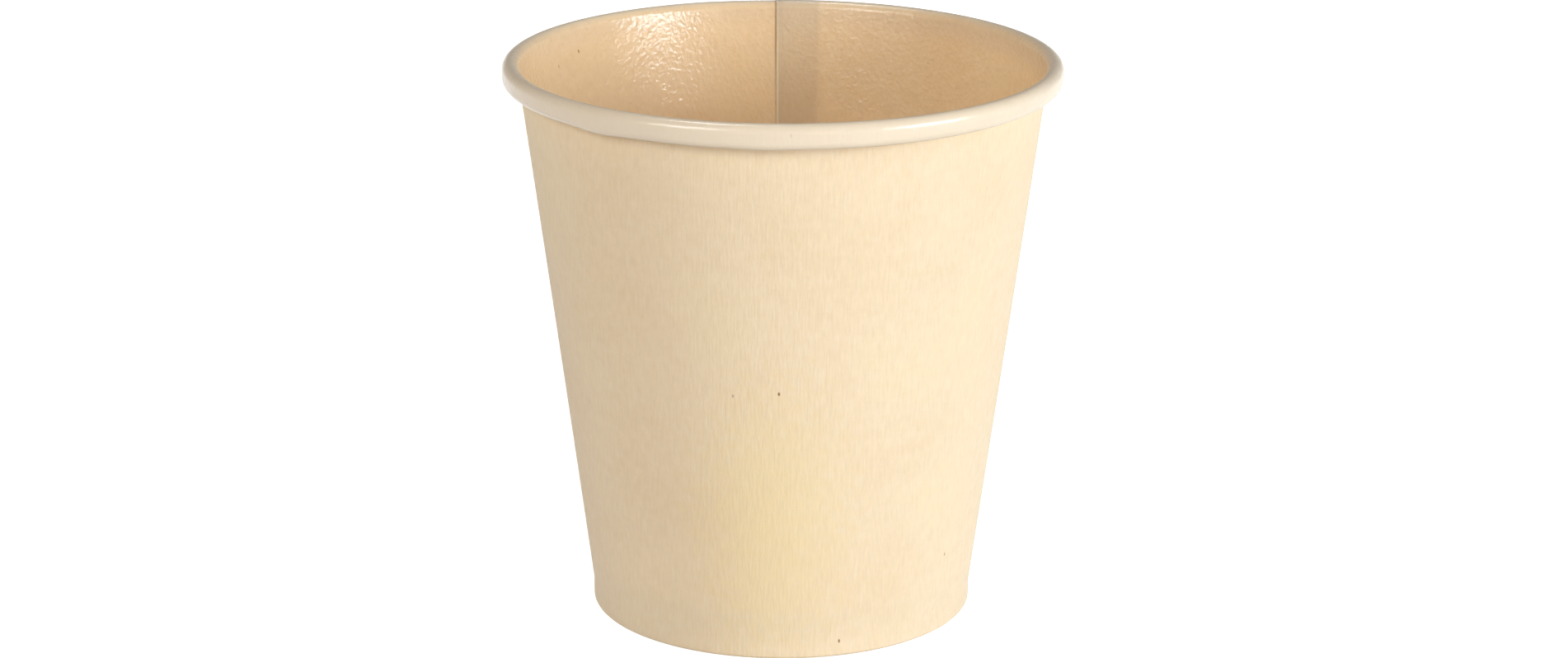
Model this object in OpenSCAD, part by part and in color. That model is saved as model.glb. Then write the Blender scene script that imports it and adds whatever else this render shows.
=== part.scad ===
// Small paper cup for hot drinks. The wall is one fan-shaped blank of coated board, rolled
// into a cone and sealed where its edges lap. Its top is rolled outwards into a lip, and its
// bottom is folded in and up round the skirt of a pressed base disc.
// Lengths are in millimetres. z = 0 is the surface the cup stands on, +Z is up, and the
// sealed lap of the wall is at the back, towards +Y.

/* [Cup] */
// Height from the resting surface to the top of the lip
cup_h = 62.5; // [50:0.5:90]
// Diameter over the rolled lip
rim_d = 62; // [58:0.5:80]
// Diameter over the upright band at the foot
foot_d = 42.8; // [38:0.2:50]
// Height of the upright band, where the cone of the wall starts
band_h = 2.3; // [1.5:0.1:3]

/* [Board] */
// Thickness of the board of the wall
board_t = 0.3; // [0.2:0.02:0.4]
// Thickness of the board of the base disc
base_t = 0.3; // [0.2:0.02:0.4]

/* [Lip] */
// Width of the rolled lip, from the inside of the wall to its outer side
lip_w = 2; // [1.8:0.1:3]
// Length of the upright stretch on the outer side of the lip
lip_side = 0.85; // [0.3:0.05:2]
// Turn of the curl under the lip, from its outer side to the cut edge
curl_turn = 215; // [190:5:240]
// Clearance between the curl and the outside of the wall
lip_gap = 0.1; // [0.05:0.05:0.2]

/* [Foot] */
// Inner radius of the two bends of the fold
fold_bend = 0.15; // [0.05:0.05:0.2]
// Distance from the cut edge of the hem up to the underside of the disc
hem_gap = 0.8; // [0.5:0.1:1.2]

/* [Base disc] */
// Height of the underside of the disc above the resting surface
base_rise = 5.8; // [5:0.1:9]
// Inner radius of the bend between the disc and its skirt
base_bend = 0.4; // [0.2:0.1:0.8]
// Distance from the cut edge of the skirt down to the fold
skirt_gap = 0.6; // [0.3:0.1:0.9]
// Clearance on each side of the skirt, between the wall and the hem
seat_gap = 0.03; // [0.02:0.01:0.1]

/* [Sealed lap] */
// Width of the lap at the top of the wall
lap_w = 5.1; // [3:0.1:8]
// Part of the board's thickness that the pressed lap steps out by
lap_press = 0.85; // [0.75:0.05:0.9]
// Bearing of the inner cut edge round the cup, from +X
lap_bearing = 91.6; // [80:0.2:100]

/* [Hidden] */

kraft = [0.86, 0.76, 0.64];
coated_kraft = [0.80, 0.67, 0.50];

// Facets of a full turn, for the cup and for the small bends of the board
turn_facets = 180;
bend_facets = 96;

// The blank winds outwards by one step in a turn. Half the turn is about one axis and half
// about another, half a step apart, so the halves meet flush in the plane of both axes.
lap_step = lap_press * board_t;
axis_shift = lap_step / 2;

rim_r = rim_d / 2;
foot_r = foot_d / 2;

// Centre of the bend over the top of the lip, in the plane of a section
lip_x = rim_r - lip_w / 2;
lip_z = cup_h - lip_w / 2;
lip_hollow = lip_w / 2 - board_t;

// Lean of the wall: its outer face runs from the top of the band to the lip's inner curve
wall_lean = atan2(lip_x - foot_r, lip_z - band_h)
    - asin(lip_hollow / norm([lip_x - foot_r, lip_z - band_h]));

// Centre and radius of the curl under the lip
curl_z = lip_z - lip_side;
curl_r = (rim_r - lip_gap - face_r(0, curl_z)) / 2;

// The slot for the skirt also takes up the step of the lap
slot_w = base_t + lap_step + 2 * seat_gap;
fold_w = 2 * board_t + slot_w;
fold_r = fold_bend + board_t;
hem_h = base_rise - hem_gap;

// Place of the skirt's outer face, and centre of the bend at its top
skirt_inset = board_t + seat_gap;
skirt_foot = board_t + skirt_gap;
corner_r = base_bend + base_t;
corner_z = base_rise + base_t - corner_r;
corner_x = face_r(skirt_inset + corner_r, corner_z);

// Angle of the lap, whose two cut edges run straight down the cone
lap_turn = asin(lap_w / lip_x);

// Radius, at height z, of a face that lies inset from the outside of the wall
function face_r(inset, z) =
    foot_r + max(-inset, (z - band_h) * tan(wall_lean) - inset / cos(wall_lean));

// Height at which that face turns from the upright band to the cone
function knee_z(inset) = band_h + inset * tan(wall_lean / 2);

// Section of a ply that follows the wall, from height low to height high, cut square
module ply(inset, t, low, high)
{
    back = inset + t;
    back_high = high + t * sin(wall_lean);
    polygon([
        [face_r(inset, low), low],
        [foot_r - inset, knee_z(inset)],
        [face_r(inset, high), high],
        [face_r(back, back_high), back_high],
        [foot_r - back, knee_z(back)],
        [face_r(back, low), low]
    ]);
}

// Section of a bend in a board of thickness t, about the origin, between two angles
module bend(outer_r, t, from, to)
{
    // the fan that cuts the bend out of a ring reaches past it in steps of 45 degrees or less
    steps = ceil((to - from) / 45);
    fan = [
        for (i = [0:steps])
            let (a = from + (to - from) * i / steps)
                2 * outer_r * [cos(a), sin(a)]
    ];
    intersection() {
        difference() {
            circle(r = outer_r, $fn = bend_facets);
            circle(r = outer_r - t, $fn = bend_facets);
        }
        polygon(concat([[0, 0]], fan));
    }
}

// Section of the lip: over the top, down the outer side, and in under itself
module lip_section()
{
    translate([lip_x, lip_z]) bend(lip_w / 2, board_t, 0, 180 - wall_lean);
    translate([rim_r - board_t, curl_z]) square([board_t, lip_side]);
    translate([rim_r - curl_r, curl_z]) bend(curl_r, board_t, -curl_turn, 0);
}

// Section of the foot: in under the wall, and up again as the hem
module foot_section()
{
    translate([foot_r - fold_r, fold_r]) bend(fold_r, board_t, -90, 0);
    translate([foot_r - fold_w + fold_r, 0]) square([fold_w - 2 * fold_r, board_t]);
    translate([foot_r - fold_w + fold_r, fold_r]) bend(fold_r, board_t, 180, 270);
    ply(fold_w - board_t, board_t, fold_r, hem_h);
}

// Section of the whole blank, from the curled edge to the hem
module blank_section()
{
    lip_section();
    ply(0, board_t, fold_r, lip_z + lip_hollow * sin(wall_lean));
    foot_section();
}

// Section of the base disc, from the cup's centre to the cut edge of the skirt
module disc_section()
{
    translate([0, base_rise]) square([corner_x, base_t]);
    translate([corner_x, corner_z]) bend(corner_r, base_t, -wall_lean, 90);
    ply(skirt_inset, base_t, skirt_foot, corner_z - corner_r * sin(wall_lean));
}

// Puts what is drawn with the lap on +X at the bearing of the lap, on the cup's centre
module about_lap()
{
    rotate([0, 0, lap_bearing]) translate([0, -axis_shift / 2, 0]) children();
}

module side_wall()
{
    color(kraft) about_lap() {
        // outer half of the turn, which ends on top of the lap
        rotate_extrude(start = 0, angle = 180, $fn = turn_facets) blank_section();
        translate([-axis_shift, 0, 0]) {
            // inner half of the turn, which ends under the lap
            rotate_extrude(start = 180, angle = 180, $fn = turn_facets)
                translate([-axis_shift, 0]) blank_section();
            // outer ply of the lap
            rotate_extrude(start = -lap_turn, angle = lap_turn, $fn = turn_facets)
                translate([axis_shift, 0]) blank_section();
        }
    }
}

module base_disc()
{
    color(coated_kraft) about_lap()
        translate([-axis_shift, 0, 0])
            rotate_extrude($fn = turn_facets)
                intersection() {
                    translate([-axis_shift, 0]) disc_section();
                    square([rim_r, cup_h]);
                }
}

side_wall();
base_disc();
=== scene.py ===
import bpy
import numpy as np
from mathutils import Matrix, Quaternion, Vector


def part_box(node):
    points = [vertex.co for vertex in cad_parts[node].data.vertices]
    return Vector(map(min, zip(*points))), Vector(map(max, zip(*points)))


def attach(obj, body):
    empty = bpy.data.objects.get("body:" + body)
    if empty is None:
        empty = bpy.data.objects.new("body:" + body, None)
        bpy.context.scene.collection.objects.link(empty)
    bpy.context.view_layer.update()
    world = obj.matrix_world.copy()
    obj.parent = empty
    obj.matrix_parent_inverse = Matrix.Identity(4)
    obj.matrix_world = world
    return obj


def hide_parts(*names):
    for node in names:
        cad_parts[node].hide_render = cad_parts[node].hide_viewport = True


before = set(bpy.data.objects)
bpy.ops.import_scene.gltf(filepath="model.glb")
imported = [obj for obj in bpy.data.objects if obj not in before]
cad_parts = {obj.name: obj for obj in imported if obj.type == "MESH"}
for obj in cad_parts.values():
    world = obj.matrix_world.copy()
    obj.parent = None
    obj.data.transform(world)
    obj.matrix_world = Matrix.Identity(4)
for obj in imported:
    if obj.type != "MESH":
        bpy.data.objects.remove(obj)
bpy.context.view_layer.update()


# Side wall: one fan-shaped blank of cup board, coated on the face that holds the drink. It is
# rolled into a cone with its edges lapped and heat sealed at the back. Its top is rolled
# outwards into the lip, and its foot is folded in and up round the skirt of the base disc.

# Sizes are in millimetres, turns in degrees, and lean and bearing in radians
MM = 0.001
wall_low, wall_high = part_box("side_wall")
cup_h = wall_high.z / MM
rim_r = min(-wall_low.x, wall_high.x, -wall_low.y, wall_high.y) / MM
foot_r = 0.69 * rim_r
band_h = 2.3
board_t = 0.3
lap_w = 5.1
lap_press = 0.85
lap_bearing = 91.6
lip_w = 2.0
lip_side = 0.85
lip_gap = 0.1
curl_turn = 215
fold_bend = 0.15
seat_gap = 0.03
hem_h = 5.0

lap_step = lap_press * board_t
fold_r = fold_bend + board_t
fold_w = 3 * board_t + lap_step + 2 * seat_gap
lip_x = rim_r - lip_w / 2
lip_z = cup_h - lip_w / 2
lip_hollow = lip_w / 2 - board_t
lip_reach = np.hypot(lip_x - foot_r, lip_z - band_h)
lean = np.arctan2(lip_x - foot_r, lip_z - band_h) - np.arcsin(lip_hollow / lip_reach)
lap_turn = np.degrees(np.arcsin(lap_w / lip_x))


def lean_r(inset, z):
    """Radius at height z of a line that lies inset from the wall's outer face: straight up the
    band, and on the slope of the cone above it."""
    slope = (z - band_h) * np.tan(lean) - inset / np.cos(lean)
    return foot_r + np.maximum(-inset, slope)


def arc(centre, radius, start, end, count, raw_side):
    """Points on a circle from one angle to another, in degrees. The board's raw face is on the
    circle's outer side where raw_side is 1, and on its inner side where it is -1."""
    angle = np.radians(np.linspace(start, end, count))
    out = np.stack([np.cos(angle), np.sin(angle)], 1)
    return np.array(centre) + radius * out, raw_side * out


def straight(start, end, count, raw_normal):
    """Points on a straight line, whose board has its raw face towards raw_normal."""
    share = np.linspace(0, 1, count)[:, None]
    line = (1 - share) * np.array(start) + share * np.array(end)
    return line, np.tile(np.array(raw_normal, float), (count, 1))


def smooth(edge_a, edge_b, value):
    """Rises smoothly from 0 at edge_a to 1 at edge_b: three times the square of the share of the
    way, less twice its cube."""
    share = np.clip((value - edge_a) / (edge_b - edge_a), 0, 1)
    return share * share * (3 - 2 * share)


# The middle line of the board, from the curled edge under the lip down to the cut edge of the
# hem. Its ten stretches are numbered from 0: curl, side of the lip, top of the lip, wall,
# upright band, outer bend of the fold, foot, inner bend, upright hem and leaning hem.
CURL, SIDE, WALL, OUTER_BEND, HEM = 0, 1, 3, 5, 8
half_t = board_t / 2
curl_z = lip_z - lip_side
curl_r = (rim_r - lip_gap - lean_r(0, curl_z)) / 2
hem_x = foot_r - fold_w + half_t
hem_bend = [foot_r - fold_w + fold_r, fold_r]
top_r = lip_w / 2 - half_t
wall_top = [lip_x - top_r * np.cos(lean), lip_z + top_r * np.sin(lean)]
knee = [foot_r - half_t, band_h + half_t * np.tan(lean / 2)]
hem_knee_z = band_h + (foot_r - hem_x) * np.tan(lean / 2)
wall_normal = [np.cos(lean), -np.sin(lean)]
hem_top = [lean_r(foot_r - hem_x, hem_h), hem_h]
stretches = [
    arc([rim_r - curl_r, curl_z], curl_r - half_t, -curl_turn, 0, 23, -1),
    straight([rim_r - half_t, curl_z], [rim_r - half_t, lip_z], 4, [-1, 0]),
    arc([lip_x, lip_z], top_r, 0, 180 - np.degrees(lean), 23, -1),
    straight(wall_top, knee, 34, wall_normal),
    straight(knee, [foot_r - half_t, fold_r], 4, [1, 0]),
    arc([foot_r - fold_r, fold_r], fold_r - half_t, 0, -90, 8, 1),
    straight([foot_r - fold_r, half_t], [hem_bend[0], half_t], 3, [0, -1]),
    arc(hem_bend, fold_r - half_t, -90, -180, 8, 1),
    straight([hem_x, fold_r], [hem_x, hem_knee_z], 4, [-1, 0]),
    straight([hem_x, hem_knee_z], hem_top, 8, [-wall_normal[0], -wall_normal[1]]),
]
middle = np.concatenate([points for points, normals in stretches])
raw_normal = np.concatenate([normals for points, normals in stretches])
stretch = np.concatenate([
    np.full(len(points), number) for number, (points, normals) in enumerate(stretches)])

# Where two stretches meet, one point is kept, with the mean of the two normals
joint = np.linalg.norm(np.diff(middle, axis=0), axis=1) < 1e-6
raw_normal[1:][joint] += raw_normal[:-1][joint]
raw_normal /= np.linalg.norm(raw_normal, axis=1)[:, None]
kept = np.append(~joint, True)
middle, raw_normal, stretch = middle[kept], raw_normal[kept], stretch[kept]
along = np.append(0, np.cumsum(np.linalg.norm(np.diff(middle, axis=0), axis=1)))
rows = len(middle)

# Once round the cup and on over the lap, clockwise seen from above: from the inner cut edge to
# the outer one. Columns stand closer together at both edges, and where the outer ply passes
# under the inner cut edge, at the crack between the two.
turn_end = 360 + lap_turn
edge_turns = np.array([0, 0.12, 0.3, 0.6])
edge_zone = 1.2
even_turns = np.linspace(edge_zone, turn_end - edge_zone, 365)
crack_turn = 359.85
crack_turns = crack_turn + np.array([-0.5, -0.3, -0.15, 0, 0.15])
turned = np.concatenate([edge_turns, even_turns, turn_end - edge_turns[::-1]])
away_from_crack = turned[np.abs(turned - crack_turn) > 0.6]
turned = np.sort(np.concatenate([away_from_crack, crack_turns]))
columns = len(turned)
bearing = np.radians(lap_bearing - turned)

# The ply that ends outside steps out of the way of the other one over the last of its turn,
# and the sealing tool pressed the inner edge into it, so that a small step is left to see.
# Round the fold it can't go down through the table, so there the inner ply is tucked in. On the
# lip, which was rolled after the sealing, the step is half as deep.
joggle = 22
seen_step = 0.55
before_lap = smooth(360 - joggle, 359, turned)
in_lap = smooth(360.2, 364, turned)
steps_out = lap_step * (seen_step * before_lap + (1 - seen_step) * in_lap)
tucks_in = lap_step * (1 - smooth(lap_turn + 1, lap_turn + joggle, turned))
bent_down = -np.degrees(np.arctan2(raw_normal[:, 1], raw_normal[:, 0]))
on_wall = 1 - smooth(0, 80, bent_down)
on_wall = np.where(stretch > OUTER_BEND, 0, np.where(stretch < OUTER_BEND, 1, on_wall))
on_wall = on_wall * (1 - 0.5 * smooth(-4, 0, middle[:, 1] - lip_z) * (stretch <= WALL))
under_wall = np.where(stretch > WALL, 1 - on_wall, 0)
shift = np.outer(steps_out, on_wall) - np.outer(tucks_in, under_wall)

# The lip was rolled unevenly: it is deepest at the front and a quarter of a millimetre
# shallower at both sides, and its lower edge has two faint kinks
lip_depth = -0.11 - 0.05 * np.sin(bearing) - 0.11 * np.cos(2 * bearing)
for kink_at, kink_depth, kink_w in ((231.0, 0.22, 5.0), (266.0, 0.08, 5.0)):
    away = (np.degrees(bearing) - kink_at + 180) % 360 - 180
    lip_depth = lip_depth + kink_depth * np.exp(-(away / kink_w) ** 2)
down_side = (lip_z - middle[:, 1]) / lip_side
hangs = np.where(stretch == CURL, 1, np.where(stretch == SIDE, down_side, 0))
drop = np.outer(lip_depth, np.clip(hangs, 0, 1))

# Board never rolls quite true: the wall has long shallow waves of a few hundredths of a
# millimetre, and the hem is crimped into fine upright ribs on its hidden side
height_share = np.clip((middle[:, 1] - fold_r) / (lip_z - fold_r), 0, 1)
wave_room = np.where(stretch == WALL, np.sin(np.pi * height_share), 0)
waves = 0.05 * np.sin(3 * bearing + 0.4) + 0.03 * np.sin(7 * bearing + 2.0)
waved = np.outer(waves, wave_room)
hem_ribs = 84
rib_h = 0.07
on_hem = np.where(stretch >= HEM, smooth(0, 1.2, middle[:, 1] - fold_r), 0)
ribs = rib_h / 2 * np.outer(1 + np.cos(hem_ribs * bearing), on_hem)

# The sealing tool pressed the raw face thinner along the outer cut edge, and the film along the
# inner one, but for a fine bead of film beside the cut
pressed_turn = 0.9
raw_pressed = 0.10
film_pressed = 0.03
bead_turn = 0.2
bead_spread = 0.26
raw_t = half_t - raw_pressed * smooth(turn_end - pressed_turn, turn_end, turned)[:, None]
bead = np.exp(-((turned - bead_turn) / bead_spread) ** 2)
film_left = bead + smooth(bead_turn, bead_turn + 1, turned)
coated_t = half_t - film_pressed + film_pressed * film_left[:, None]

offset = shift + waved - ribs
line_x = middle[:, 0] + offset * raw_normal[:, 0]
line_z = middle[:, 1] + offset * raw_normal[:, 1] - drop


def face_of_sheet(radii, heights, normals, thick, bearings):
    """Places of one face of a sheet. In each column the middle line, given by its radii and
    heights, is moved along its normals by thick to the radius r and the height z, and stands
    at (r cos b, r sin b, z) for the column's bearing b."""
    r = radii + thick * normals[:, 0]
    z = heights + thick * normals[:, 1]
    return np.stack([r * np.cos(bearings)[:, None], r * np.sin(bearings)[:, None], z], 2)


# Each column is a closed ring: down the raw face, round the hem's edge, up the coated face
raw_face = face_of_sheet(line_x, line_z, raw_normal, raw_t, bearing)
coated_face = face_of_sheet(line_x, line_z, raw_normal, -coated_t, bearing)
ring = np.concatenate([raw_face, coated_face[:, ::-1]], 1)
ring_count = 2 * rows
ids = np.arange(columns * ring_count).reshape(columns, ring_count)
across = np.roll(ids, -1, axis=1)
around = np.stack([ids[:-1], ids[1:], across[1:], across[:-1]], 2).reshape(-1, 4)
strip = np.arange(rows - 1)
opposite = ring_count - 1 - strip
first_edge = np.stack([ids[0, strip], ids[0, strip + 1], ids[0, opposite - 1], ids[0, opposite]], 1)
last_edge = np.stack([ids[-1, strip], ids[-1, opposite], ids[-1, opposite - 1], ids[-1, strip + 1]], 1)
quads = np.concatenate([around, first_edge, last_edge])

# Finish of each quad, by the number of its material
COATED, RAW, CUT = 0, 1, 2
ring_finish = np.full(ring_count, RAW)
ring_finish[rows:] = COATED
ring_finish[[rows - 1, ring_count - 1]] = CUT
finish = np.concatenate([np.tile(ring_finish, columns - 1), np.full(2 * (rows - 1), CUT)])

# The flat blank, in millimetres: the cone unrolled about its tip, with the middle of the
# blank, which has the grain of the board upright, at the front of the cup
wall_start = np.flatnonzero(stretch == WALL)[0]
tip_distance = middle[wall_start, 0] / np.sin(lean) + along[wall_start] - along
unrolled = np.radians(turned - 180) * np.sin(lean)
blank_x = np.outer(np.sin(unrolled), tip_distance)
blank_y = np.outer(np.cos(unrolled), tip_distance)
blank = np.stack([blank_x, blank_y], 2)
blank_uv = np.concatenate([blank, blank[:, ::-1]], 1).reshape(-1, 2)

# The bead of film gets a painted highlight, where its edge catches the light, most of all away from the
# rim. The crack beside it gets a painted shadow, the shade cast by the step of the inner ply, most of
# all near the rim.
depth = lip_z - middle[:, 1]
bead_highlight_mark = np.outer(bead, 0.25 + 0.75 * smooth(0, 8, depth))
bead_highlight_mark = np.concatenate([bead_highlight_mark, bead_highlight_mark[:, ::-1]], 1).ravel()
crack_spread = 0.22
crack = np.exp(-((turned - crack_turn) / crack_spread) ** 2)
crack_shadow_mark = np.outer(crack, 1 - 0.7 * smooth(2, 9, depth))
crack_shadow_mark = np.concatenate([crack_shadow_mark, crack_shadow_mark[:, ::-1]], 1).ravel()

# Where two plies lie on each other, both faces are painted a little darker: painted shade, as less
# light comes through the double board
under_lap = 1 - smooth(lap_turn - 0.4, lap_turn + 0.4, turned)
two_plies = np.maximum(under_lap, smooth(359.4, 360.2, turned))
two_plies = np.repeat(two_plies, ring_count)

# Over the lip the rolling stretched the film, which made it smoother. There it is also painted paler: a
# painted sheen, for the white room that the glossy film reflects.
rolled = np.where(stretch < WALL, smooth(-0.95, -0.1, -raw_normal[:, 0]), 0)
rolled = np.tile(np.append(rolled, rolled[::-1]), columns)


def board_piece(name, points, faces, finishes, flat_places, marks):
    """Mesh object of a piece of board. It keeps each point's place on the flat blank as the
    layer "blank", in millimetres, and marks as named values of its points."""
    mesh = bpy.data.meshes.new(name)
    mesh.from_pydata((points * MM).tolist(), [], faces)
    mesh.polygons.foreach_set("material_index", finishes.astype(np.int32))
    mesh.polygons.foreach_set("use_smooth", finishes != CUT)
    corner = np.zeros(len(mesh.loops), np.int32)
    mesh.loops.foreach_get("vertex_index", corner)
    layer = mesh.uv_layers.new(name="blank")
    layer.data.foreach_set("uv", flat_places[corner].astype(np.float32).ravel())
    for mark, values in marks.items():
        made = mesh.attributes.new(mark, "FLOAT", "POINT")
        made.data.foreach_set("value", values.astype(np.float32))
    mesh.update()
    piece = bpy.data.objects.new(name, mesh)
    bpy.context.scene.collection.objects.link(piece)
    return piece


wall_marks = {"two_plies": two_plies, "rolled": rolled, "bead": bead_highlight_mark, "crack": crack_shadow_mark}
wall = board_piece("rolled_wall", ring.reshape(-1, 3), quads.tolist(), finish, blank_uv, wall_marks)


def colour(red, green, blue):
    """A colour as a picture shows it, from 0 to 255, in the linear light that shaders use."""
    share = np.array([red, green, blue]) / 255
    linear = np.where(share <= 0.04045, share / 12.92, ((share + 0.055) / 1.055) ** 2.4)
    return (*linear.tolist(), 1.0)


def place(tree, kind, inputs=None, **settings):
    """Adds a node to a material or group, with its settings and the values or links of its
    inputs by name or number."""
    node = tree.nodes.new(kind)
    for name, value in settings.items():
        setattr(node, name, value)
    for name, value in (inputs or {}).items():
        socket = node.inputs[name]
        if isinstance(value, bpy.types.NodeSocket):
            tree.links.new(value, socket)
        else:
            socket.default_value = value
    return node


def new_group(name, inputs, outputs):
    """An empty node group with float inputs, a vector input called Place, and the outputs."""
    group = bpy.data.node_groups.new(name, "ShaderNodeTree")
    group.interface.new_socket("Place", in_out="INPUT", socket_type="NodeSocketVector")
    for socket, value in inputs.items():
        made = group.interface.new_socket(socket, in_out="INPUT", socket_type="NodeSocketFloat")
        made.default_value = value
    for socket in outputs:
        group.interface.new_socket(socket, in_out="OUTPUT", socket_type="NodeSocketFloat")
    return group, group.nodes.new("NodeGroupInput"), group.nodes.new("NodeGroupOutput")


# Wood pulp: fibres along the grain, cloudy patches where the pulp settled, yellower drifts, and
# a few specks of bark. Place is in millimetres on the flat blank, with the grain along its
# second axis.
pulp_values = ["Fibre", "Cloud", "Patch", "Drift", "Speck"]
pulp, pulp_in, pulp_out = new_group("pulp", {"Speck Share": 0.05}, pulp_values)
stretched = place(pulp, "ShaderNodeMapping", {
    "Vector": pulp_in.outputs["Place"], "Scale": (3.2, 0.45, 1)})
fibre = place(pulp, "ShaderNodeTexNoise", {
    "Vector": stretched.outputs[0], "Scale": 1.0, "Detail": 3.0, "Roughness": 0.6})
cloud = place(pulp, "ShaderNodeTexNoise", {
    "Vector": pulp_in.outputs["Place"], "Scale": 0.75, "Detail": 4.0, "Roughness": 0.65})
patch = place(pulp, "ShaderNodeTexNoise", {
    "Vector": pulp_in.outputs["Place"], "Scale": 0.07, "Detail": 2.0, "Roughness": 0.5})
grain_slim = 0.55
slim = place(pulp, "ShaderNodeMapping", {
    "Vector": pulp_in.outputs["Place"], "Scale": (1, grain_slim, 1)})
cell = place(pulp, "ShaderNodeTexVoronoi", {"Vector": slim.outputs[0], "Scale": 0.16})
chance = place(pulp, "ShaderNodeSeparateColor", {0: cell.outputs["Color"]})
picked = place(pulp, "ShaderNodeMath", {
    0: chance.outputs[0], 1: pulp_in.outputs["Speck Share"]}, operation="LESS_THAN")
size = place(pulp, "ShaderNodeMapRange", {
    "Value": cell.outputs["Distance"], "From Min": 0.014, "From Max": 0.036,
    "To Min": 1.0, "To Max": 0.0}, interpolation_type="SMOOTHSTEP")
speck = place(pulp, "ShaderNodeMath", {
    0: picked.outputs[0], 1: size.outputs[0]}, operation="MULTIPLY")

# The specks that stand out, by their place on the blank and how dark they are: four on the
# front of the wall, one on the lip and two inside
plain_specks = (
    (1.0, 190.3, 1.0), (5.9, 189.8, 0.5), (-5.8, 160.0, 0.9), (-20.3, 166.4, 0.6),
    (0.0, 223.0, 0.8), (58.6, 209.1, 0.45), (62.9, 208.8, 0.8))
for speck_x, speck_y, speck_dark in plain_specks:
    away = place(pulp, "ShaderNodeVectorMath", {
        0: slim.outputs[0], 1: (speck_x, grain_slim * speck_y, 0)}, operation="DISTANCE")
    spot = place(pulp, "ShaderNodeMapRange", {
        "Value": away.outputs["Value"], "From Min": 0.05, "From Max": 0.17,
        "To Min": speck_dark, "To Max": 0.0}, interpolation_type="SMOOTHSTEP")
    speck = place(pulp, "ShaderNodeMath", {
        0: speck.outputs[0], 1: spot.outputs[0]}, operation="MAXIMUM")

# A yellower drift in the pulp low on the front, and fainter ones elsewhere
drift_x, drift_y = 2.0, 175.0
drift_way = place(pulp, "ShaderNodeVectorMath", {
    0: slim.outputs[0], 1: (drift_x, grain_slim * drift_y, 0)}, operation="DISTANCE")
drift_edge = place(pulp, "ShaderNodeMath", {0: cloud.outputs[0], 1: 14.0}, operation="MULTIPLY")
drift_way = place(pulp, "ShaderNodeMath", {
    0: drift_way.outputs["Value"], 1: drift_edge.outputs[0]}, operation="ADD")
drift_here = place(pulp, "ShaderNodeMapRange", {
    "Value": drift_way.outputs[0], "From Min": 7.0, "From Max": 20.0,
    "To Min": 1.0, "To Max": 0.0}, interpolation_type="SMOOTHSTEP")
drift_there = place(pulp, "ShaderNodeMapRange", {
    "Value": patch.outputs[0], "From Min": 0.52, "From Max": 0.72, "To Max": 0.35})
drift = place(pulp, "ShaderNodeMath", {
    0: drift_here.outputs[0], 1: drift_there.outputs[0]}, operation="MAXIMUM")
for socket, source in zip(pulp_values, (fibre, cloud, patch, drift, speck)):
    pulp.links.new(source.outputs[0], pulp_out.inputs[socket])

# Film of the coating: small creases like those in soft leather, with finer ripples between
# them, which came with the heat and the rolling. A noise pushes their places about.
film, film_in, film_out = new_group("film_creases", {"Crease Size": 0.5}, ["Crease", "Ripple"])
bent = place(film, "ShaderNodeTexNoise", {
    "Vector": film_in.outputs["Place"], "Scale": 1.3, "Detail": 2.0})
pushed = place(film, "ShaderNodeVectorMath", {
    0: bent.outputs["Color"], "Scale": 0.6}, operation="SCALE")
summed = place(film, "ShaderNodeVectorMath", {
    0: pushed.outputs[0], 1: film_in.outputs["Place"]}, operation="ADD")
crease_scale = place(film, "ShaderNodeMath", {
    0: 1.0, 1: film_in.outputs["Crease Size"]}, operation="DIVIDE")
crease = place(film, "ShaderNodeTexVoronoi", {
    "Vector": summed.outputs[0], "Scale": crease_scale.outputs[0]}, feature="SMOOTH_F1")
ripple = place(film, "ShaderNodeTexNoise", {
    "Vector": summed.outputs[0], "Scale": 2.0, "Detail": 3.0, "Roughness": 0.5})
film.links.new(crease.outputs["Distance"], film_out.inputs["Crease"])
film.links.new(ripple.outputs[0], film_out.inputs["Ripple"])

# Colours of the marks on the board: bark in the pulp, painted shade where two plies lie on each other,
# a painted sheen on the film over the lip, a painted highlight on the bead of film, and a painted
# shadow in the crack beside it. The shade of the plies and the sheen show in part, by their shares.
bark = colour(138, 92, 56)
two_ply_shade = colour(226, 191, 152)
lip_sheen_film = colour(238, 217, 192)
bead_highlight = colour(255, 232, 184)
crack_shadow = colour(196, 158, 110)
two_ply_shade_share = 0.3
lip_sheen_share = 0.8


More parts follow.
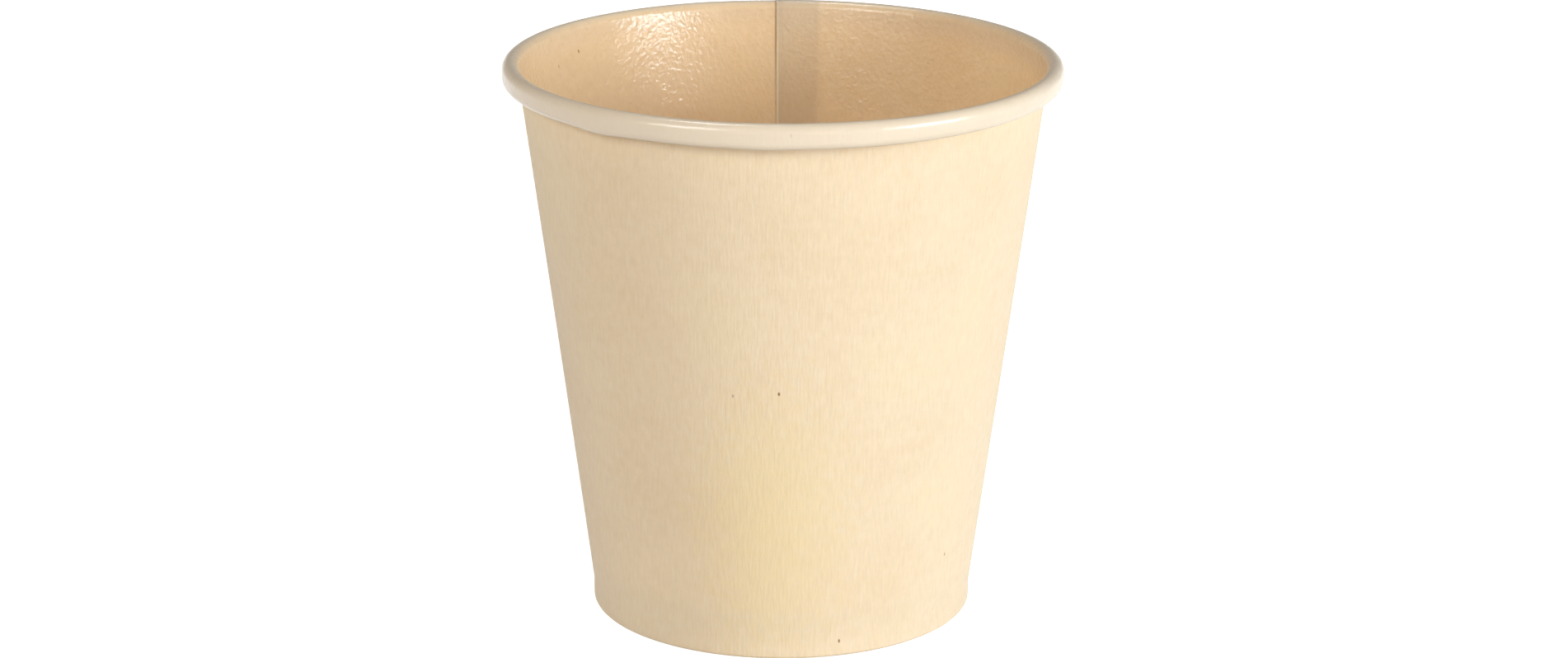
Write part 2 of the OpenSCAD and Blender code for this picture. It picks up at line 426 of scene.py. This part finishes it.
def cup_board(name, pale, deep, yellow, speck_share, fibre_tint, coated):
    """Material of one face of the board: pulp between a deep and a pale colour, tinted by its drifts,
    fibres and specks, with a film over it where the face is coated. Where two plies lie on each other
    it gets painted shade. Over the lip the film is painted paler, a painted sheen of the white room
    that it reflects, and at the seam it gets a painted highlight on the bead and a painted shadow in
    the crack. Some light passes through the board."""
    material = bpy.data.materials.new(name)
    material.use_nodes = True
    tree = material.node_tree
    tree.nodes.clear()
    blank_place = place(tree, "ShaderNodeUVMap", uv_map="blank")
    grain = place(tree, "ShaderNodeGroup", node_tree=pulp)
    tree.links.new(blank_place.outputs[0], grain.inputs["Place"])
    grain.inputs["Speck Share"].default_value = speck_share
    mottled = place(tree, "ShaderNodeMath", {
        0: grain.outputs["Cloud"], 1: grain.outputs["Patch"]}, operation="ADD")
    toned = place(tree, "ShaderNodeMapRange", {
        "Value": mottled.outputs[0], "From Min": 0.75, "From Max": 1.25})
    base = place(tree, "ShaderNodeMix", {
        0: toned.outputs[0], 6: deep, 7: pale}, data_type="RGBA")
    fibre_share = place(tree, "ShaderNodeMapRange", {
        "Value": grain.outputs["Fibre"], "From Min": 0.3, "From Max": 0.7,
        "To Min": 1 - fibre_tint, "To Max": 1 + fibre_tint})
    drifted = place(tree, "ShaderNodeMix", {
        0: grain.outputs["Drift"], 6: base.outputs[2], 7: yellow}, data_type="RGBA")
    streaked = place(tree, "ShaderNodeVectorMath", {
        0: drifted.outputs[2], "Scale": fibre_share.outputs[0]}, operation="SCALE")
    # Painted shade where two plies lie on each other, as less light comes through the double board
    plies = place(tree, "ShaderNodeAttribute", attribute_name="two_plies")
    ply_shade_tone = two_ply_shade if coated else yellow
    ply_shade_share = place(tree, "ShaderNodeMath", {
        0: plies.outputs["Fac"], 1: two_ply_shade_share}, operation="MULTIPLY")
    ply_shaded = place(tree, "ShaderNodeMix", {
        0: ply_shade_share.outputs[0], 6: streaked.outputs[0], 7: ply_shade_tone}, data_type="RGBA")
    specked = place(tree, "ShaderNodeMix", {
        0: grain.outputs["Speck"], 6: ply_shaded.outputs[2], 7: bark}, data_type="RGBA")
    shader = place(tree, "ShaderNodeBsdfPrincipled", {
        "Base Color": specked.outputs[2], "Roughness": 0.19 if coated else 0.62,
        "Specular IOR Level": 0.55 if coated else 0.3, "Subsurface Weight": 0.4,
        "Subsurface Radius": (1.0, 0.9, 0.8), "Subsurface Scale": 1.0 * MM})
    fibre_bump = place(tree, "ShaderNodeBump", {
        "Height": grain.outputs["Fibre"], "Distance": (0.03 if coated else 0.06) * MM,
        "Strength": 1.0})
    normal = fibre_bump
    if coated:
        creases = place(tree, "ShaderNodeGroup", node_tree=film)
        tree.links.new(blank_place.outputs[0], creases.inputs["Place"])
        # Painted sheen: the film over the lip is painted paler for the white room that it reflects
        lip_mark = place(tree, "ShaderNodeAttribute", attribute_name="rolled")
        lip_sheen = place(tree, "ShaderNodeMath", {
            0: lip_mark.outputs["Fac"], 1: lip_sheen_share}, operation="MULTIPLY")
        lip_sheened = place(tree, "ShaderNodeMix", {
            0: lip_sheen.outputs[0], 6: specked.outputs[2], 7: lip_sheen_film}, data_type="RGBA")
        # Painted highlight on the bead of film, where the cut edge catches the light
        bead_highlight_shown = place(tree, "ShaderNodeAttribute", attribute_name="bead")
        bead_highlighted = place(tree, "ShaderNodeMix", {
            0: bead_highlight_shown.outputs["Fac"], 6: lip_sheened.outputs[2], 7: bead_highlight}, data_type="RGBA")
        # Painted shadow in the crack beside the bead: the shade cast by the step of the inner ply
        crack_shadow_shown = place(tree, "ShaderNodeAttribute", attribute_name="crack")
        crack_shadowed = place(tree, "ShaderNodeMix", {
            0: crack_shadow_shown.outputs["Fac"], 6: bead_highlighted.outputs[2], 7: crack_shadow}, data_type="RGBA")
        tree.links.new(crack_shadowed.outputs[2], shader.inputs["Base Color"])
        creased = place(tree, "ShaderNodeMapRange", {
            "Value": lip_mark.outputs["Fac"], "To Min": 1.0, "To Max": 0.4})
        ripple_bump = place(tree, "ShaderNodeBump", {
            "Height": creases.outputs["Ripple"], "Distance": 0.055 * MM,
            "Strength": creased.outputs[0], "Normal": fibre_bump.outputs[0]})
        normal = place(tree, "ShaderNodeBump", {
            "Height": creases.outputs["Crease"], "Distance": 0.045 * MM,
            "Strength": creased.outputs[0], "Normal": ripple_bump.outputs[0]})
    tree.links.new(normal.outputs[0], shader.inputs["Normal"])
    out = tree.nodes.new("ShaderNodeOutputMaterial")
    tree.links.new(shader.outputs[0], out.inputs[0])
    return material


coated_board = cup_board(
    "coated_board", pale=colour(239, 206, 166), deep=colour(233, 197, 155),
    yellow=colour(233, 193, 148), speck_share=0.10, fibre_tint=0.02, coated=True)
raw_board = cup_board(
    "raw_board", pale=colour(240, 215, 183), deep=colour(235, 207, 171),
    yellow=colour(240, 212, 167), speck_share=0.12, fibre_tint=0.035, coated=False)
cut_board = cup_board(
    "cut_board", pale=colour(226, 200, 166), deep=colour(214, 184, 146),
    yellow=colour(220, 190, 150), speck_share=0.0, fibre_tint=0.06, coated=False)
board_finishes = (coated_board, raw_board, cut_board)
for board_finish in board_finishes:
    wall.data.materials.append(board_finish)
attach(wall, "root")
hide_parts("side_wall")


# Base disc: a round of the same board, coated on its upper face, drawn down at its edge into
# a short skirt. The skirt stands between the wall and the hem, and the drawing gathers the
# board into fine pleats round the bend.
base_low, base_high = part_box("base_disc")
disc_t = 0.3
disc_bend = 0.4
disc_top = base_high.z / MM
skirt_end = base_low.z / MM
skirt_inset = board_t + seat_gap + disc_t / 2
corner_r = disc_bend + disc_t / 2
corner_z = disc_top - disc_bend - disc_t
corner_x = lean_r(board_t + seat_gap + disc_bend + disc_t, corner_z)
skirt_top = corner_z - corner_r * np.sin(lean)

# The middle line of the disc, out from the axis, round the bend and down the skirt
flat_r = np.append([0.4, 1.0], np.linspace(2.0, corner_x, 22))
flat_line = np.stack([flat_r, np.full(len(flat_r), disc_top - disc_t / 2)], 1)
flat_normal = np.tile([0.0, 1.0], (len(flat_r), 1))
bend_line, bend_normal = arc([corner_x, corner_z], corner_r, 90, -np.degrees(lean), 12, 1)
skirt_from = [lean_r(skirt_inset, skirt_top), skirt_top]
skirt_to = [lean_r(skirt_inset, skirt_end), skirt_end]
skirt_line, skirt_normal = straight(skirt_from, skirt_to, 9, wall_normal)
disc_line = np.concatenate([flat_line[:-1], bend_line, skirt_line[1:]])
disc_normal = np.concatenate([flat_normal[:-1], bend_normal, skirt_normal[1:]])
disc_rows = len(disc_line)
disc_columns = 336
disc_bearing = np.linspace(0, 2 * np.pi, disc_columns, endpoint=False)

# The pleats set in a little before the bend and fade down the skirt, and the middle of the disc
# sags a little
pleats = 112
pleat_depth = 0.04
disc_sag = 0.12
pleat_room = smooth(corner_x - 2.5, corner_x + 0.3, disc_line[:, 0])
pleat_room = pleat_room * (1 - 0.6 * smooth(corner_z, skirt_end, disc_line[:, 1]))
pleat = pleat_depth / 2 * np.outer(np.cos(pleats * disc_bearing) - 1, pleat_room)
sag = disc_sag * (1 - smooth(0, corner_x - 1, disc_line[:, 0]))
disc_x = disc_line[:, 0] + pleat * disc_normal[:, 0]
disc_z = disc_line[:, 1] + pleat * disc_normal[:, 1] - sag

# Rings run out over the coated face, round the skirt's cut edge and back under the raw face,
# and one point closes each face at the cup's axis
upper_face = face_of_sheet(disc_x, disc_z, disc_normal, disc_t / 2, disc_bearing)
under_face = face_of_sheet(disc_x, disc_z, disc_normal, -disc_t / 2, disc_bearing)
disc_ring = np.concatenate([upper_face, under_face[:, ::-1]], 1)
disc_ring_count = 2 * disc_rows
disc_ids = np.arange(disc_columns * disc_ring_count).reshape(disc_columns, disc_ring_count)
next_ids = np.roll(disc_ids, -1, axis=0)
disc_quads = np.stack([
    disc_ids[:, :-1], disc_ids[:, 1:], next_ids[:, 1:], next_ids[:, :-1]], 2).reshape(-1, 4)
top_pole = disc_ids.size
under_pole = top_pole + 1
top_fan = np.stack([np.full(disc_columns, top_pole), disc_ids[:, 0], next_ids[:, 0]], 1)
under_fan = np.stack([np.full(disc_columns, under_pole), next_ids[:, -1], disc_ids[:, -1]], 1)
poles = np.array([[0, 0, disc_top - sag[0]], [0, 0, disc_top - disc_t - sag[0]]])
disc_points = np.concatenate([disc_ring.reshape(-1, 3), poles])
disc_faces = disc_quads.tolist() + top_fan.tolist() + under_fan.tolist()
disc_ring_finish = np.full(disc_ring_count - 1, COATED)
disc_ring_finish[disc_rows:] = RAW
disc_ring_finish[disc_rows - 1] = CUT
disc_finish = np.concatenate([
    np.tile(disc_ring_finish, disc_columns), np.full(disc_columns, COATED), np.full(disc_columns, RAW)])

# The flat round that the disc was drawn from, with the same grain
disc_steps = np.linalg.norm(np.diff(disc_line, axis=0), axis=1)
disc_along = disc_line[0, 0] + np.append(0, np.cumsum(disc_steps))
disc_flat = np.stack([
    np.outer(np.cos(disc_bearing), disc_along), np.outer(np.sin(disc_bearing), disc_along)], 2)
disc_flat = np.concatenate([disc_flat, disc_flat[:, ::-1]], 1).reshape(-1, 2)
disc_flat = np.concatenate([disc_flat, np.zeros((2, 2))])
disc_marks = {mark: np.zeros(len(disc_points)) for mark in wall_marks}
disc = board_piece("drawn_base", disc_points, disc_faces, disc_finish, disc_flat, disc_marks)
for board_finish in board_finishes:
    disc.data.materials.append(board_finish)
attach(disc, "root")
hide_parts("base_disc")


# Floor: a broad white table, 12 metres wide. It shows as plain white, to the camera and in
# reflections, and keeps a soft shadow of the cup.
floor_mesh = bpy.data.meshes.new("floor")
floor_half = 6.0
floor_mesh.from_pydata(
    [(-floor_half, -floor_half, 0), (floor_half, -floor_half, 0),
     (floor_half, floor_half, 0), (-floor_half, floor_half, 0)], [], [(0, 1, 2, 3)])
floor = bpy.data.objects.new("floor", floor_mesh)
bpy.context.scene.collection.objects.link(floor)
floor_white = bpy.data.materials.new("floor_white")
floor_white.use_nodes = True
floor_tree = floor_white.node_tree
floor_tree.nodes.clear()
floor_tone = 0.6
floor_lift = 0.85


def shown_ray(tree, path):
    """1 for a ray of the light path that shows a surface, straight to the camera, mirrored or
    through a clear thing, and 0 for one that only gathers light."""
    shown = place(tree, "ShaderNodeMath", {
        0: path.outputs["Is Camera Ray"], 1: path.outputs["Is Glossy Ray"]}, operation="MAXIMUM")
    return place(tree, "ShaderNodeMath", {
        0: shown.outputs[0], 1: path.outputs["Is Transmission Ray"]}, operation="MAXIMUM")


ray = place(floor_tree, "ShaderNodeLightPath")
seen = shown_ray(floor_tree, ray)
lift = place(floor_tree, "ShaderNodeMath", {
    0: seen.outputs[0], 1: floor_lift}, operation="MULTIPLY")
table = place(floor_tree, "ShaderNodeBsdfDiffuse", {
    "Color": (floor_tone, floor_tone, floor_tone, 1)})
glow = place(floor_tree, "ShaderNodeEmission", {
    "Color": (1, 1, 1, 1), "Strength": lift.outputs[0]})
both = place(floor_tree, "ShaderNodeAddShader", {0: table.outputs[0], 1: glow.outputs[0]})
floor_out = floor_tree.nodes.new("ShaderNodeOutputMaterial")
floor_tree.links.new(both.outputs[0], floor_out.inputs[0])
floor_mesh.materials.append(floor_white)


# Light: a white room, bright near the horizon and dim above, with a broad soft lamp low at the
# right, weaker ones at the front left and behind, and a small one above. The lamp behind is
# left out of reflections, where it would whiten the top of the lip.
world = bpy.data.worlds.new("white_room")
bpy.context.scene.world = world
world.use_nodes = True
room = world.node_tree
room.nodes.clear()
room_ray = place(room, "ShaderNodeLightPath")
room_seen = shown_ray(room, room_ray)
dim_way = (-0.08, 0.3, 0.9)
room_way = place(room, "ShaderNodeTexCoord")
room_up = place(room, "ShaderNodeVectorMath", {
    0: room_way.outputs["Generated"], 1: dim_way}, operation="DOT_PRODUCT")
walls_light = place(room, "ShaderNodeMapRange", {
    "Value": room_up.outputs["Value"], "From Min": -0.14, "From Max": 0.65,
    "To Min": 1.06, "To Max": 0.05}, interpolation_type="SMOOTHSTEP")
walls_seen = place(room, "ShaderNodeMath", {0: walls_light.outputs[0], 1: 1.0}, operation="MINIMUM")
walls_seen = place(room, "ShaderNodeMath", {
    0: walls_seen.outputs[0], 1: room_ray.outputs["Is Camera Ray"]}, operation="MAXIMUM")
room_level = place(room, "ShaderNodeMix", {
    0: room_seen.outputs[0], 2: walls_light.outputs[0], 3: walls_seen.outputs[0]}, data_type="FLOAT")
room_light = place(room, "ShaderNodeBackground", {
    "Color": (1, 1, 1, 1), "Strength": room_level.outputs[0]})
room_out = room.nodes.new("ShaderNodeOutputWorld")
room.links.new(room_light.outputs[0], room_out.inputs[0])


def soft_lamp(name, bearing_deg, rise_deg, distance, side, power, tint=(1.0, 1.0, 1.0)):
    """A square lamp at a bearing and a height angle from the cup's middle, facing it. Its
    distance and side are in metres."""
    data = bpy.data.lights.new(name, "AREA")
    data.shape = "SQUARE"
    data.size = side
    data.energy = power
    data.color = tint
    lamp = bpy.data.objects.new(name, data)
    out = Vector((
        np.cos(np.radians(rise_deg)) * np.cos(np.radians(bearing_deg)),
        np.cos(np.radians(rise_deg)) * np.sin(np.radians(bearing_deg)),
        np.sin(np.radians(rise_deg))))
    lamp.location = Vector((0, 0, cup_h * MM / 2)) + distance * out
    lamp.rotation_euler = out.to_track_quat("Z", "Y").to_euler()
    bpy.context.scene.collection.objects.link(lamp)
    return lamp


soft_lamp("key_lamp", -30, 12, distance=0.8, side=0.34, power=5.25, tint=(0.855, 0.925, 1.0))
soft_lamp("front_lamp", -131, 30, distance=0.8, side=0.3, power=2.15)
soft_lamp("top_lamp", 125, 70, distance=0.9, side=0.10, power=1.2)
back_lamp = soft_lamp("back_lamp", 95, 6, distance=0.8, side=0.4, power=2.2)
back_lamp.visible_glossy = False


# Camera: a long lens from the front, which looks down over the rim at the inside of the back
# wall, and is turned a hair off upright
camera_data = bpy.data.cameras.new("camera")
camera_data.sensor_width = 36.0
camera_data.lens = 94.25
camera_data.clip_end = 50
camera = bpy.data.objects.new("camera", camera_data)
camera_rise = np.radians(16.85)
camera_distance = 460.6 * MM
camera_roll = 0.0035
aim = Vector((0.21 * MM, 0, 31.34 * MM))
camera.location = aim + camera_distance * Vector((0, -np.cos(camera_rise), np.sin(camera_rise)))
upright = (aim - camera.location).to_track_quat("-Z", "Y")
camera.rotation_euler = (upright @ Quaternion((0, 0, 1), camera_roll)).to_euler()
bpy.context.scene.collection.objects.link(camera)
bpy.context.scene.camera = camera

bpy.context.scene.view_settings.view_transform = "Standard"
